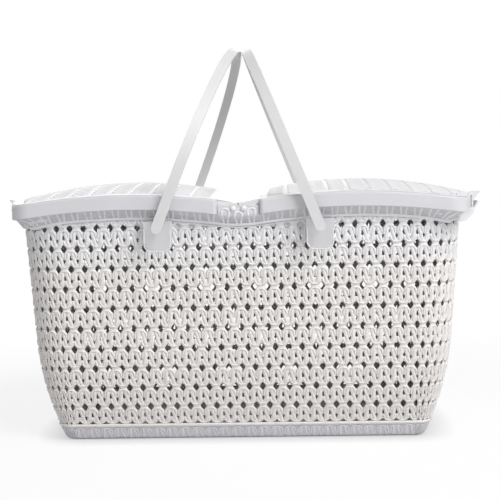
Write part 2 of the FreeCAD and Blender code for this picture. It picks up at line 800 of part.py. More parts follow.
def handle(name, turned):
    """Hoop handle that leans inwards over the lids, with a stud at the foot of each leg."""
    body = doc.addObject("PartDesign::Body", name + "_band")
    pad = body.newObject("PartDesign::Pad", name + "_pad")
    pad.Profile = hoop_sketch(body)
    pad.Midplane = True
    bind(pad, Length="band_width")
    doc.recompute()
    low = pad.Shape.BoundBox.ZMin
    ends = []
    for number, edge in enumerate(pad.Shape.Edges, 1):
        box = edge.BoundBox
        if box.ZMax < low + 0.01 and box.YLength > 0.5 * size("band_thickness") and box.XLength < 0.01:
            ends.append("Edge%d" % number)
    rounding = body.newObject("PartDesign::Fillet", name + "_ends")
    rounding.Base = (pad, ends)
    bind(rounding, Radius="band_width * 0.49")
    body.Tip = rounding
    pieces = [body]
    inside = "wall_side + %.6f - wall_thickness - end_play" % wall_outset(pivot_height)
    face = "(wall_side + side_overhang + hoop_clear - band_thickness / 2)"
    for side, sign in (("front", -1), ("back", 1)):
        axis = Rotation(Vector(1, 0, 0), -90 * sign)
        stud = doc.addObject("Part::Cylinder", "%s_stud_%s" % (name, side))
        head = doc.addObject("Part::Cylinder", "%s_head_%s" % (name, side))
        stud.Placement = Placement(Vector(0, 0, 0), axis)
        head.Placement = Placement(Vector(0, 0, 0), axis)
        bind(stud, Radius="stud_radius", Height="%s - (%s) + stud_head_length + 0.5 * band_thickness" % (face, inside))
        bind(stud, Placement__Base__y="%d * ((%s) - stud_head_length)" % (sign, inside))
        bind(head, Radius="stud_head_radius", Height="stud_head_length")
        bind(head, Placement__Base__y="%d * ((%s) - stud_head_length)" % (sign, inside))
        pieces.extend([stud, head])
    whole = doc.addObject("Part::MultiFuse", name)
    whole.Label = name
    whole.Shapes = pieces
    reach = size("hoop_leg") + hoop_radius + size("band_thickness") / 2
    half = size("band_width") / 2
    free = size("pivot_reach") - size("handle_gap") / 2
    lean = math.degrees(math.asin(free / math.hypot(reach, half)) - math.atan2(half, reach))
    upright = Placement(Vector(-size("pivot_reach"), 0, pivot_height), Rotation(Vector(0, 1, 0), lean))
    whole.Placement = half_turn.multiply(upright) if turned else upright
    return whole


def hinge_pins():
    """Four pins that stand out of the rim into the lids' knuckles."""
    pins = []
    for number, (right, back) in enumerate(((1, -1), (-1, -1), (1, 1), (-1, 1)), 1):
        pin = doc.addObject("Part::Cylinder", "hinge_pin_%d" % number)
        pin.Placement = Placement(Vector(0, 0, 0), Rotation(Vector(1, 0, 0), 90 * back))
        bind(pin, Radius="hinge_pin_radius", Height="knuckle_length + end_play")
        bind(pin, Placement__Base__x="%d * hinge_offset" % right)
        bind(pin, Placement__Base__z="bead_crown - %.6f + rim_height - hinge_drop" % arch_drop(0))
        inside = "wall_side + side_overhang - lid_thickness - skirt_gap - rim_thickness"
        bind(pin, Placement__Base__y="%d * (%s)" % (back, inside))
        pins.append(pin)
    group = doc.addObject("Part::Compound", "lid_hinge_pins")
    group.Label = "lid_hinge_pins"
    group.Links = pins
    return group


subparts = []

subparts.append(add_shape("base_tray", base_tray()))
wall = front_wall()
subparts.append(add_shape("wall_front", wall))
subparts.append(add_shape("wall_back", wall.copy(), half_turn))
end_wall = right_wall()
subparts.append(add_shape("wall_right", end_wall))
subparts.append(add_shape("wall_left", end_wall.copy(), half_turn))
post = ring(wall_section(size("tray_height"), seam_height), corner_stations(wall_plan, 7), wall_plan)
mirrored_post = post.mirror(Vector(0, 0, 0), Vector(0, 1, 0))
subparts.append(add_shape("corner_front_right", post))
subparts.append(add_shape("corner_back_left", post.copy(), half_turn))
subparts.append(add_shape("corner_back_right", mirrored_post))
subparts.append(add_shape("corner_front_left", mirrored_post.copy(), half_turn))
side_rim = front_rim()
subparts.append(add_shape("rim_front", side_rim))
subparts.append(add_shape("rim_back", side_rim.copy(), half_turn))
end_rim = rim(end_stations(wall_plan, 6, 8))
subparts.append(add_shape("rim_right", end_rim))
subparts.append(add_shape("rim_left", end_rim.copy(), half_turn))
catch = end_catch()
subparts.append(add_shape("catch_right", catch))
subparts.append(add_shape("catch_left", catch.copy(), half_turn))
skirt = lid_skirt()
subparts.append(add_shape("lid_skirt_right", skirt))
subparts.append(add_shape("lid_skirt_left", skirt.copy(), half_turn))
shell = lid_shell()
subparts.append(add_shape("lid_shell_right", shell))
subparts.append(add_shape("lid_shell_left", shell.copy(), half_turn))
latch = lid_latch()
subparts.append(add_shape("lid_latch_right", latch))
subparts.append(add_shape("lid_latch_left", latch.copy(), half_turn))
subparts.append(handle("handle_left", False))
subparts.append(handle("handle_right", True))
subparts.append(hinge_pins())

doc.recompute()
os.makedirs("parts", exist_ok=True)
for part in subparts:
    shape = part.Shape
    broken = part.State and any(state in ("Invalid", "Error") for state in part.State)
    if broken or shape.isNull() or not shape.isValid():
        raise RuntimeError("%s did not build" % part.Label)
    print("%-20s solids %d volume %.1f cm3" % (part.Label, len(shape.Solids), shape.Volume / 1000))
for part in subparts:
    part.Shape.exportStep("parts/%s.step" % part.Label)
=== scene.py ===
import math
import bpy
import numpy as np
from mathutils import Matrix, Vector
from mathutils.geometry import delaunay_2d_cdt


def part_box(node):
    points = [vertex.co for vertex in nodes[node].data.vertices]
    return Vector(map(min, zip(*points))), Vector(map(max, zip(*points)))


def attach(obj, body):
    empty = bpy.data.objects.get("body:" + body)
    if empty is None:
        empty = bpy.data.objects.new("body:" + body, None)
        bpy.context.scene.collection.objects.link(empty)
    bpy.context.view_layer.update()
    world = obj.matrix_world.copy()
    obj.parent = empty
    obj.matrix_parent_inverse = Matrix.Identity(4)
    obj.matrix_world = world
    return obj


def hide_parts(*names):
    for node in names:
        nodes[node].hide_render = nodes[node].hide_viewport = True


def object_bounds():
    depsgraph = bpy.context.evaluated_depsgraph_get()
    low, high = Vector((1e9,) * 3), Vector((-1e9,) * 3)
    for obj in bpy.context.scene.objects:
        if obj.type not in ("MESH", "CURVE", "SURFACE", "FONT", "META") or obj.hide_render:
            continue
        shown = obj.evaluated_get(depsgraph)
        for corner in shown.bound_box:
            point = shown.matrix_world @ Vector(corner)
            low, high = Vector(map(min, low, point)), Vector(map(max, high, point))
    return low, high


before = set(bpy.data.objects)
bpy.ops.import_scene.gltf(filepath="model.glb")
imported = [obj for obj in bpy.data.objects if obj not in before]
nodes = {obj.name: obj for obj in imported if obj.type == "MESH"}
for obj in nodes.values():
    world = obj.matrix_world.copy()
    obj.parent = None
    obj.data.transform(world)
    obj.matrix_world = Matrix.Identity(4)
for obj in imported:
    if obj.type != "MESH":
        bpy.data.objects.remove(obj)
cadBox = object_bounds()
print("stage: frame loaded")

mm = 0.001


def newMaterial(name):
    material = bpy.data.materials.new(name)
    material.use_nodes = True
    tree = material.node_tree
    tree.nodes.clear()
    output = tree.nodes.new("ShaderNodeOutputMaterial")
    shader = tree.nodes.new("ShaderNodeBsdfPrincipled")
    tree.links.new(shader.outputs["BSDF"], output.inputs["Surface"])
    return material, tree, shader


def addNoise(tree, scale, detail, roughness):
    noise = tree.nodes.new("ShaderNodeTexNoise")
    noise.inputs["Scale"].default_value = scale
    noise.inputs["Detail"].default_value = detail
    noise.inputs["Roughness"].default_value = roughness
    coordinates = tree.nodes.new("ShaderNodeTexCoord")
    tree.links.new(coordinates.outputs["Object"], noise.inputs["Vector"])
    return noise


def addRamp(tree, source, stops):
    ramp = tree.nodes.new("ShaderNodeValToRGB")
    elements = ramp.color_ramp.elements
    for element, (place, colour) in zip(elements, stops):
        element.position = place
        element.color = (*colour, 1)
    tree.links.new(source, ramp.inputs["Fac"])
    return ramp


def addFade(tree, tone, shader, look):
    # darker below one height, full colour above another
    coordinates = tree.nodes.new("ShaderNodeTexCoord")
    parted = tree.nodes.new("ShaderNodeSeparateXYZ")
    tree.links.new(coordinates.outputs["Object"], parted.inputs["Vector"])
    share = tree.nodes.new("ShaderNodeMapRange")
    share.inputs["From Min"].default_value, share.inputs["From Max"].default_value = look["fade"]
    tree.links.new(parted.outputs["Z"], share.inputs["Value"])
    mix = tree.nodes.new("ShaderNodeMix")
    mix.data_type = "RGBA"
    mix.inputs["A"].default_value = (*look["fadeColour"], 1)
    tree.links.new(share.outputs["Result"], mix.inputs["Factor"])
    tree.links.new(tone.outputs["Color"], mix.inputs["B"])
    tree.links.new(mix.outputs["Result"], shader.inputs["Base Color"])


def mouldedPlastic(name, look):
    # pale polypropylene: cloudy tone, faint flow marks and a fine spark-eroded grain
    material, tree, shader = newMaterial(name)
    cloud = addNoise(tree, look["cloudScale"], 4, 0.55)
    light = look["colour"]
    dark = tuple(c * look["cloudDepth"] for c in light)
    tone = addRamp(tree, cloud.outputs["Fac"], [(0.3, dark), (0.72, light)])
    if "fade" in look:
        addFade(tree, tone, shader, look)
    else:
        tree.links.new(tone.outputs["Color"], shader.inputs["Base Color"])
    patches = addNoise(tree, look["cloudScale"] * 5, 3, 0.5)
    gloss = tree.nodes.new("ShaderNodeMapRange")
    gloss.inputs["To Min"].default_value = look["roughness"] - look["roughSpread"]
    gloss.inputs["To Max"].default_value = look["roughness"] + look["roughSpread"]
    tree.links.new(patches.outputs["Fac"], gloss.inputs["Value"])
    tree.links.new(gloss.outputs["Result"], shader.inputs["Roughness"])
    grain = addNoise(tree, look["grainScale"], 2, 0.6)
    flow = addNoise(tree, look["flowScale"], 2, 0.4)
    total = tree.nodes.new("ShaderNodeMath")
    total.operation = "MULTIPLY_ADD"
    total.inputs[1].default_value = look["flowShare"]
    tree.links.new(flow.outputs["Fac"], total.inputs[0])
    tree.links.new(grain.outputs["Fac"], total.inputs[2])
    bump = tree.nodes.new("ShaderNodeBump")
    bump.inputs["Strength"].default_value = look["bump"]
    bump.inputs["Distance"].default_value = look["bumpDepth"]
    tree.links.new(total.outputs["Value"], bump.inputs["Height"])
    tree.links.new(bump.outputs["Normal"], shader.inputs["Normal"])
    shader.inputs["IOR"].default_value = look["index"]
    return material


plasticLook = {
    "colour": (0.62, 0.605, 0.6), "cloudScale": 9, "cloudDepth": 0.955, "roughness": 0.44,
    "roughSpread": 0.05, "grainScale": 2600, "flowScale": 240, "flowShare": 0.8, "bump": 0.12,
    "bumpDepth": 0.2 * mm, "index": 1.49,
}
bodyPlastic = mouldedPlastic("bodyPlastic", plasticLook)
knitPlastic = mouldedPlastic("knitPlastic", {
    **plasticLook, "colour": (0.73, 0.725, 0.74), "roughness": 0.4, "fade": (190 * mm, 250 * mm),
    "fadeColour": (0.725, 0.7, 0.68),
})
cordPlastic = mouldedPlastic("cordPlastic", {
    **plasticLook, "colour": (0.74, 0.735, 0.755), "roughness": 0.4,
})
# the base band's cords darken towards the foot: painted shade near the floor
basePlastic = mouldedPlastic("basePlastic", {
    **plasticLook, "colour": (0.69, 0.68, 0.71), "roughness": 0.45, "fade": (2 * mm, 14 * mm),
    "fadeColour": (0.55, 0.54, 0.57),
})
# a darker copy of the same plastic for the sunk ground between the cords of the frieze and the base band:
# painted shade
groundShadePlastic = mouldedPlastic("groundShadePlastic", {
    **plasticLook, "colour": (0.56, 0.545, 0.575), "roughness": 0.55,
})
# the middle panels darken towards the bead below them: painted shade
panelPlastic = mouldedPlastic("panelPlastic", {
    **plasticLook, "colour": (0.66, 0.655, 0.68), "fade": (256 * mm, 265 * mm),
    "fadeColour": (0.47, 0.455, 0.48),
})
# the lids' tops take a lighter copy of the plastic than their skirts: painted light on the tops, painted
# shade on the skirts
lidPlastic = mouldedPlastic("lidPlastic", {**plasticLook, "colour": (0.7, 0.695, 0.705), "roughness": 0.4})
skirtPlastic = mouldedPlastic("skirtPlastic", {**plasticLook, "colour": (0.6, 0.6, 0.62), "roughness": 0.4})
handlePlastic = mouldedPlastic("handlePlastic", {
    **plasticLook, "colour": (0.63, 0.625, 0.63), "roughness": 0.38,
})
print("stage: materials ready")


def meshObject(name, points, faces, material, body, smooth=True):
    mesh = bpy.data.meshes.new(name)
    mesh.from_pydata(np.asarray(points).tolist(), [], [list(f) for f in faces])
    mesh.validate()
    mesh.polygons.foreach_set("use_smooth", np.full(len(mesh.polygons), smooth))
    mesh.materials.append(material)
    mesh.update()
    obj = bpy.data.objects.new(name, mesh)
    bpy.context.scene.collection.objects.link(obj)
    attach(obj, body)
    return obj


def curveLine(points, count):
    # points spread evenly along a smooth line through a few given ones
    given = np.asarray(points, float)
    where = np.linspace(0, len(given) - 1, count)
    out = []
    for column in given.T:
        slopes = np.gradient(column)
        index = np.minimum(where.astype(int), len(given) - 2)
        t = where - index
        a, b = column[index], column[index + 1]
        ma, mb = slopes[index], slopes[index + 1]
        out.append((2 * t**3 - 3 * t**2 + 1) * a + (t**3 - 2 * t**2 + t) * ma
                   + (3 * t**2 - 2 * t**3) * b + (t**3 - t**2) * mb)
    return np.stack(out, 1)


def ridge(path, halfWidths, base, crests):
    # raised round cord on a flat sheet, from one foot over the crest to the other
    path = np.asarray(path, float)
    along = np.gradient(path, axis=0)
    along /= np.linalg.norm(along, axis=1)[:, None] + 1e-12
    side = np.stack([-along[:, 1], along[:, 0]], 1)
    rounds = np.array([(-1, 0), (-0.93, 0.4), (-0.66, 0.78), (0, 1), (0.66, 0.78), (0.93, 0.4), (1, 0)])
    halfWidths = np.broadcast_to(halfWidths, len(path))
    crests = np.broadcast_to(crests, len(path))
    spots = path[:, None, :] + side[:, None, :] * (rounds[None, :, 0] * halfWidths[:, None])[:, :, None]
    heights = base + (crests - base)[:, None] * rounds[None, :, 1]
    points = np.concatenate([spots, heights[:, :, None]], 2).reshape(-1, 3)
    return points, gridFaces(len(path), len(rounds))


def gridFaces(rows, columns, loop=False):
    # quads of a grid of points, row after row; a loop joins the last row to the first
    faces = []
    for n in range(rows if loop else rows - 1):
        start = n * columns
        following = (n + 1) % rows * columns
        for k in range(columns - 1):
            faces.append((start + k, following + k, following + k + 1, start + k + 1))
    return faces


def merge(parts):
    points = []
    faces = []
    total = 0
    for some, several in parts:
        points.append(some)
        faces.extend(tuple(i + total for i in f) for f in several)
        total += len(some)
    return np.concatenate(points), faces


# the body's driving sizes, as in the solids: draft, tuck towards the foot, corners and bowed ends
bodyShape = {
    "bowCentre": 387 * mm, "corner": 54 * mm, "draft": math.radians(4.43), "datum": 240.8 * mm,
    "tuckHeight": 117.8 * mm, "tuckRadius": 307 * mm, "pitch": 15.5 * mm,
    "foot": 8 * mm, "beadFoot": 16.2 * mm, "footEdge": 10 * mm,
}
frontLow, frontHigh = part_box("wall_front")
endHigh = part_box("wall_right")[1]
seam = frontHigh.z
seamReach = (seam - bodyShape["datum"]) * math.tan(bodyShape["draft"])
wallSide = -frontLow.y - seamReach
wallEnd = endHigh.x - seamReach
cornerX = frontHigh.x
cornerY = wallSide - bodyShape["corner"]
bowRadius = wallEnd + bodyShape["bowCentre"]
bowAngle = math.asin(cornerY / (bowRadius - bodyShape["corner"]))
cornerTurn = math.pi / 2 - bowAngle
cornerLength = bodyShape["corner"] * cornerTurn
quarter = cornerX + cornerLength + bowRadius * bowAngle
# runs are measured along a plan that is stretched a little, so that whole stitches go round
quarterStitches = round(quarter / bodyShape["pitch"] * 2) / 2
quarterRun = quarterStitches * bodyShape["pitch"]


def wallOutset(z):
    # how far the wall stands beyond its plan at a height
    z = np.asarray(z, float)
    tangent = math.tan(bodyShape["draft"])
    above = (z - bodyShape["datum"]) * tangent
    radius = bodyShape["tuckRadius"]
    start = (bodyShape["tuckHeight"] - bodyShape["datum"]) * tangent
    centre = start - radius * math.cos(bodyShape["draft"])
    height = bodyShape["tuckHeight"] + radius * math.sin(bodyShape["draft"])
    below = centre + np.sqrt(np.maximum(radius**2 - (z - height) ** 2, 0))
    return np.where(z >= bodyShape["tuckHeight"], above, below)


def planPoint(run, reach):
    # point and outward direction at a run along the plan and a reach beyond the wall
    run = np.asarray(run, float)
    half = np.floor((run + quarterRun) / (2 * quarterRun))
    local = run - 2 * quarterRun * half
    sign = np.where(local < 0, -1.0, 1.0)
    far = np.abs(local)
    stretch = (quarter - cornerX) / (quarterRun - cornerX)
    far = np.where(far < cornerX, far, cornerX + (far - cornerX) * stretch)
    turn = -math.pi / 2 + np.clip((far - cornerX) / cornerLength, 0, 1) * cornerTurn
    bow = -bowAngle + (far - cornerX - cornerLength) / bowRadius
    onSide = far < cornerX
    onBow = far > cornerX + cornerLength
    angle = np.where(onSide, -math.pi / 2, np.where(onBow, bow, turn))
    baseX = np.where(onSide, far, np.where(onBow, -bodyShape["bowCentre"], cornerX))
    baseY = np.where(onSide, 0.0, np.where(onBow, 0.0, -cornerY))
    radius = np.where(onSide, wallSide, np.where(onBow, bowRadius, bodyShape["corner"])) + reach
    x = (baseX + radius * np.cos(angle)) * sign
    y = baseY + radius * np.sin(angle)
    spin = np.where(np.mod(half, 2) > 0.5, -1.0, 1.0)
    return x * spin, y * spin, np.cos(angle) * sign * spin, np.sin(angle) * spin


def onWall(points):
    # maps (run along the wall, height, reach) to the room
    points = np.asarray(points, float)
    x, y, _, _ = planPoint(points[:, 0], wallOutset(points[:, 1]) + points[:, 2])
    return np.stack([x, y, points[:, 1]], 1)


def onFoot(points):
    # as onWall, but straight down from the base bead to the foot like the tray
    points = np.asarray(points, float)
    foot = bodyShape["foot"]
    bead = bodyShape["beadFoot"]
    share = np.clip((points[:, 1] - foot) / (bead - foot), 0, 1)
    reach = wallOutset(foot) * (1 - share) + wallOutset(bead) * share
    edge = bodyShape["footEdge"]
    turn = np.clip(edge - points[:, 1], 0, edge)
    reach -= edge - np.sqrt(np.maximum(edge**2 - turn**2, 0))
    x, y, _, _ = planPoint(points[:, 0], reach + points[:, 2])
    return np.stack([x, y, points[:, 1]], 1)


# the arch of the rim and skirts, and the dome of the lids
lidShape = {
    "archCrown": 129.5 * mm, "archRadius": 787 * mm, "valleyHalf": 22 * mm, "beadCrown": 261.5 * mm,
    "frieze": 10.7 * mm, "skirt": 16.6 * mm, "rim": 23 * mm, "cheekEnd": 27 * mm, "crest": 306.1 * mm,
    "crestRun": 144 * mm, "radius": 520 * mm, "valley": 2.7 * mm, "skirtCorner": 24 * mm,
    "thickness": 2.4 * mm, "skirtGap": 0.6 * mm, "skirtRound": 2.1 * mm, "cheekEase": 17 * mm,
}
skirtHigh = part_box("lid_skirt_right")[1]
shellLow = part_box("lid_shell_right")[0]
skirtSide = skirtHigh.y
skirtEnd = skirtHigh.x
lidStart = shellLow.x
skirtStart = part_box("lid_skirt_right")[0].x


def archDrop(x):
    # how far the arched edge lies below its crown, with a rounded valley in the middle
    x = np.abs(np.asarray(x, float))
    radius, crown, valley = lidShape["archRadius"], lidShape["archCrown"], lidShape["valleyHalf"]
    outer = radius - np.sqrt(radius**2 - (x - crown) ** 2)
    run = crown - valley
    slope = run / math.sqrt(radius**2 - run**2)
    edge = radius - math.sqrt(radius**2 - run**2)
    return np.where(x >= valley, outer, edge + slope * (valley**2 - x**2) / (2 * valley))


def archLine(x):
    # height of the skirts' upper edge
    return lidShape["beadCrown"] + lidShape["frieze"] + lidShape["skirt"] - archDrop(x)


def domeLine(x):
    # height of the lids along the middle of the basket
    run = np.abs(np.asarray(x, float)) - (skirtEnd - lidShape["crestRun"])
    radius = lidShape["radius"]
    return lidShape["crest"] - radius + np.sqrt(radius**2 - run**2)


def sloped(x, line):
    # a line of the dome, continued by the straight cheek down to the valley
    x = np.abs(np.asarray(x, float))
    end = lidShape["cheekEnd"]
    valley = lidShape["beadCrown"] - float(archDrop(0)) + lidShape["rim"] + lidShape["valley"]
    share = (x - lidStart) / (end - lidStart)
    return np.where(x >= end, line(np.maximum(x, end)), valley + (float(line(end)) - valley) * share)


def softened(x, line):
    # rounds the bend between the cheek and the dome
    x = np.abs(np.asarray(x, float))
    end, ease = lidShape["cheekEnd"], lidShape["cheekEase"]
    low, bend, high = sloped([end - ease, end, end + ease], line)
    t = np.clip((x - end + ease) / (2 * ease), 0, 1)
    curved = (1 - t) ** 2 * low + 2 * t * (1 - t) * bend + t**2 * high
    return np.where(np.abs(x - end) < ease, curved, sloped(x, line))


def lidHeight(x, y, crestLine=softened):
    # height of a lid's top: an arc from one skirt over the crest to the other
    edge = sloped(x, archLine)
    crest = crestLine(x, domeLine)
    sag = crest - edge
    size = np.maximum(np.abs(sag), 1e-7)
    radius = (skirtSide**2 + sag**2) / (2 * size)
    fall = radius - np.sqrt(np.maximum(radius**2 - np.asarray(y) ** 2, 0))
    return crest - np.sign(sag) * fall


def rimLine(x, y):
    # height of the lid's edge over a point of the rim
    depth = skirtSide - lidShape["skirtCorner"]
    full = skirtSide - 3 * mm
    share = np.clip((np.abs(y) - depth) / (full - depth), 0, 1)
    return archLine(x) * share + lidHeight(x, y) * (1 - share)


def beadTop(x, y):
    # height at which the rim's frieze starts over its bead
    return rimLine(x, y) - lidShape["skirt"] - lidShape["frieze"]


class BowPlan:
    # plan outline with straight sides, round corners and bowed ends

    def __init__(self, end, side, corner):
        self.end, self.side, self.corner = end, side, corner
        self.bow = end + bodyShape["bowCentre"]
        self.cornerY = side - corner
        self.cornerX = math.sqrt((self.bow - corner) ** 2 - self.cornerY**2) - bodyShape["bowCentre"]
        self.tilt = math.asin(self.cornerY / (self.bow - corner))

    def holds(self, x, y):
        # which points lie inside the outline
        x, y = np.abs(x), np.abs(y)
        inCorner = (x > self.cornerX) & (y - self.cornerY > math.tan(self.tilt) * (x - self.cornerX))
        rounded = np.hypot(x - self.cornerX, y - self.cornerY) <= self.corner
        beforeBow = np.hypot(x + bodyShape["bowCentre"], y) <= self.bow
        return (y <= self.side) & beforeBow & (rounded | ~inCorner)

    def exitFrom(self, x, y, alongX, alongY):
        # distance from points inside to the outline
        near, far = np.zeros(len(x)), np.full(len(x), 0.1)
        for _ in range(24):
            middle = (near + far) / 2
            within = self.holds(x + alongX * middle, y + alongY * middle)
            near, far = np.where(within, middle, near), np.where(within, far, middle)
        return near

    def path(self, start, step):
        # points and outward directions from the front side at start round the end to the back side
        sideCount = int((self.cornerX - start) / step)
        turn = math.pi / 2 - self.tilt
        rows = [(x, -self.side, 0, -1) for x in np.linspace(start, self.cornerX, sideCount, endpoint=False)]
        for angle in np.linspace(-math.pi / 2, -math.pi / 2 + turn, 14, endpoint=False):
            c, d = math.cos(angle), math.sin(angle)
            rows.append((self.cornerX + self.corner * c, -self.cornerY + self.corner * d, c, d))
        for angle in np.linspace(-self.tilt, 0, int(self.bow * self.tilt / step) + 1):
            c, d = math.cos(angle), math.sin(angle)
            rows.append((self.bow * c - bodyShape["bowCentre"], self.bow * d, c, d))
        rows += [(x, -y, c, -d) for x, y, c, d in reversed(rows[:-1])]
        return np.array(rows)


skirtPlan = BowPlan(skirtEnd, skirtSide, lidShape["skirtCorner"])
rimInset = lidShape["thickness"] + lidShape["skirtGap"]
rimPlan = BowPlan(skirtEnd - rimInset, skirtSide - rimInset, lidShape["skirtCorner"] - rimInset)


def onRim(points):
    # maps (run, height above the bead, reach) to the rim's outside: flared frieze, then upright lip
    points = np.asarray(points, float)
    reach = np.full(len(points), float(wallOutset(seam)))
    x, y, outX, outY = planPoint(points[:, 0], reach)
    span = rimPlan.exitFrom(x, y, outX, outY)
    base = beadTop(x + outX * span, y + outY * span)
    lip = lidShape["frieze"]
    flare = np.interp(points[:, 1], [0, 0.62 * lip, lip], [0, 0.42, 1]) * span + points[:, 2]
    return np.stack([x + outX * flare, y + outY * flare, base + points[:, 1]], 1)


# a stitch is drawn in millimetres on its own sheet, and so are the sizes here that don't name a unit
knit = {
    "row": 23.35, "half": 7.75, "topDrop": 18.2 * mm, "rows": 10, "ground": -0.9, "back": -3.0, "sunk": 0.2,
    "cord": 1.12, "cordCrest": 0.5, "strandCrest": 0.16, "baseBead": 18.1 * mm, "baseBeadReach": 1.9 * mm,
    "underBead": 1.2 * mm, "underBaseBead": 1 * mm, "uprightLower": 0.12, "samples": 17, "strandSamples": 9,
}
stitchPitch = 2 * knit["half"] * mm
stitchesRound = int(4 * quarterStitches)


def mirrored(points):
    return [(-x, y) for x, y in reversed(points)]


def stitchPlate():
    # flat ground of one stitch with its openings, in millimetres across and down from the neck above
    half, row = knit["half"], knit["row"]
    diamond = [(3.75, 0), (2.1, 2.8), (0, 5)]
    slitBeside = [(half, -9.2), (half - 1.9, -12), (half - 1.3, -14.8), (half, -17.6)]
    slitWithin = [(0, -6.6), (-1.1, -9.4), (-1.9, -12), (0, -14.8), (1.9, -12), (1.1, -9.4)]
    upper = [(half - x, -y) for x, y in diamond]
    lower = [(x, -row + y) for x, y in diamond]
    right = upper + slitBeside + [(half, -row)] + lower
    outline = [(0, 0)] + right + mirrored(right[:-1])
    holes = [(round(x, 4), round(y, 4)) for x, y in upper + lower + slitBeside + slitWithin]
    holes = set(holes) | {(-x, y) for x, y in holes}
    points = [Vector(p) for p in outline + slitWithin]
    count = len(outline)
    edges = [(n, (n + 1) % count) for n in range(count)]
    edges += [(count + n, count + (n + 1) % len(slitWithin)) for n in range(len(slitWithin))]
    loops = [list(range(count))[::-1], list(range(count, count + len(slitWithin)))]
    found = delaunay_2d_cdt(points, edges, loops, 0, 1e-5)
    sheet = [tuple(f) for f, origins in zip(found[2], found[5]) if 0 in origins and 1 not in origins]
    flat = np.array([(p.x, p.y) for p in found[0]])
    front = np.column_stack([flat, np.full(len(flat), knit["ground"])])
    back = np.column_stack([flat, np.full(len(flat), knit["back"])])
    total = len(flat)
    sides = {(f[n], f[(n + 1) % len(f)]) for f in sheet for n in range(len(f))}
    walls = []
    for a, b in sides:
        ends = {tuple(round(float(v), 4) for v in flat[n]) for n in (a, b)}
        if (b, a) not in sides and ends <= holes:
            walls.append((b, a, a + total, b + total))
    faces = sheet + [tuple(n + total for n in reversed(f)) for f in sheet] + walls
    return np.concatenate([front, back]), faces


def stitchCords(base, cordCrest, strandCrest, slim):
    # the arch, the cup and the two strands between them
    half = knit["half"]
    archHalf = [(-6.35, -12.4), (-6.5, -9), (-5.6, -5.2), (-3.1, -2.75)]
    cupHalf = [(-6.6, -13.0), (-6.65, -15.2), (-5.15, -18.9), (-2.65, -20.6)]
    slopeLine = [(1.9, -3.4), (2.5, -6), (3.3, -9), (4.2, -12), (5.1, -15), (6, -18), (6.9, -20.3)]
    uprightLine = [(-2.4, -3.4), (-2.75, -6), (-2.95, -9), (-3.05, -12), (-3.3, -15), (-3.9, -18)]
    many, few = knit["samples"], knit["strandSamples"]
    arch = curveLine(archHalf + [(0, -2.3)] + mirrored(archHalf), many)
    cup = curveLine(cupHalf + [(0, -20.95)] + mirrored(cupHalf), many) + (half, 0)
    slope = curveLine(slopeLine, few)
    upright = curveLine(uprightLine + [(-4.6, -20.3)], few)
    along = np.linspace(0, 1, few)
    slopeWidths = np.interp(along, [0, 0.2, 0.5, 0.8, 1], [1.4, 1.85, 1.95, 1.85, 1.4]) * slim
    uprightWidths = np.interp(along, [0, 0.2, 0.5, 0.8, 1], [1.5, 1.95, 2.15, 2.25, 1.6]) * slim
    fromEnd = np.minimum(np.arange(many), np.arange(many)[::-1])
    cordCrests = base + (cordCrest - base) * np.minimum(fromEnd / 3, 1) ** 0.5
    fade = np.interp(along, [0, 0.125, 0.25, 0.75, 0.875, 1], [0.75, 0.95, 1, 1, 0.95, 0.75])
    strandCrests = base + (strandCrest - base) * fade
    return [
        ridge(arch, knit["cord"] * slim, base, cordCrests),
        ridge(cup, knit["cord"] * slim, base, cordCrests),
        ridge(slope, slopeWidths, base, strandCrests),
        ridge(upright, uprightWidths, base, strandCrests - knit["uprightLower"]),
    ]


def stamp(cell, cellFaces, places, fit, rule):
    # repeats a stitch at places (across, neck) and keeps the faces of which any or all corners are held
    cell = cell * mm
    corners = np.array([list(f) + [-1] * (4 - len(f)) for f in cellFaces])
    pointSets = []
    faceSets = []
    total = 0
    for across, neck in places:
        points, held = fit(cell + (across, neck, 0))
        faces = corners[rule(held[corners], axis=1)]
        if len(faces):
            pointSets.append(points)
            faceSets.append(np.where(faces >= 0, faces + total, -1))
            total += len(points)
    points = np.concatenate(pointSets)
    faces = np.concatenate(faceSets)
    used = np.unique(faces[faces >= 0])
    renumber = np.full(len(points), -1)
    renumber[used] = np.arange(len(used))
    return points[used], [[renumber[n] for n in f if n >= 0] for f in faces.tolist()]


def knitPlaces(rows):
    # every other row is set half a stitch aside
    for row in rows:
        neck = seam - knit["topDrop"] - row * knit["row"] * mm
        shift = 0.5 if row % 2 == 0 else 0.0
        for column in range(stitchesRound):
            yield (column + shift - stitchesRound / 2) * stitchPitch, neck


def fitWall(points):
    # trims a stitch behind the two beads
    x, y, _, _ = planPoint(points[:, 0], 0)
    top = beadTop(x, y) - knit["underBead"]
    low = knit["baseBead"] - knit["underBaseBead"]
    held = (points[:, 1] < top) & (points[:, 1] > low)
    points[:, 1] = np.clip(points[:, 1], low, top)
    return points, np.append(held, False)


wallCords = stitchCords(knit["ground"] - knit["sunk"], knit["cordCrest"], knit["strandCrest"], 1)
stitch, stitchFaces = merge([stitchPlate()] + wallCords)
points, faces = stamp(stitch, stitchFaces, knitPlaces(range(-2, knit["rows"])), fitWall, np.any)
knitWall = meshObject("knit_wall", onWall(points), faces, knitPlastic, "basket")
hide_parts("wall_front", "wall_back", "wall_left", "wall_right")
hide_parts("corner_front_right", "corner_front_left", "corner_back_right", "corner_back_left")
print("stage: knit wall", len(faces), "faces")


baseBand = {
    "neck": 16.9 * mm, "low": 1 * mm, "high": 16.7 * mm, "relief": 1.25, "slim": 0.8, "step": 2.2 * mm,
    "out": 0.1 * mm, "inside": -3 * mm, "trayHigh": 30 * mm,
}
roundSamples = 640
allRound = np.linspace(-2 * quarterRun, 2 * quarterRun, roundSamples, endpoint=False)


def sweepRound(name, section, mapping, material):
    # a section of (height, reach) carried all round the basket
    section = np.asarray(section, float)
    runs = np.repeat(allRound, len(section))
    rows = np.tile(section, (len(allRound), 1))
    points = mapping(np.column_stack([runs, rows]))
    obj = meshObject(name, points, gridFaces(len(allRound), len(section), True), material, "basket")


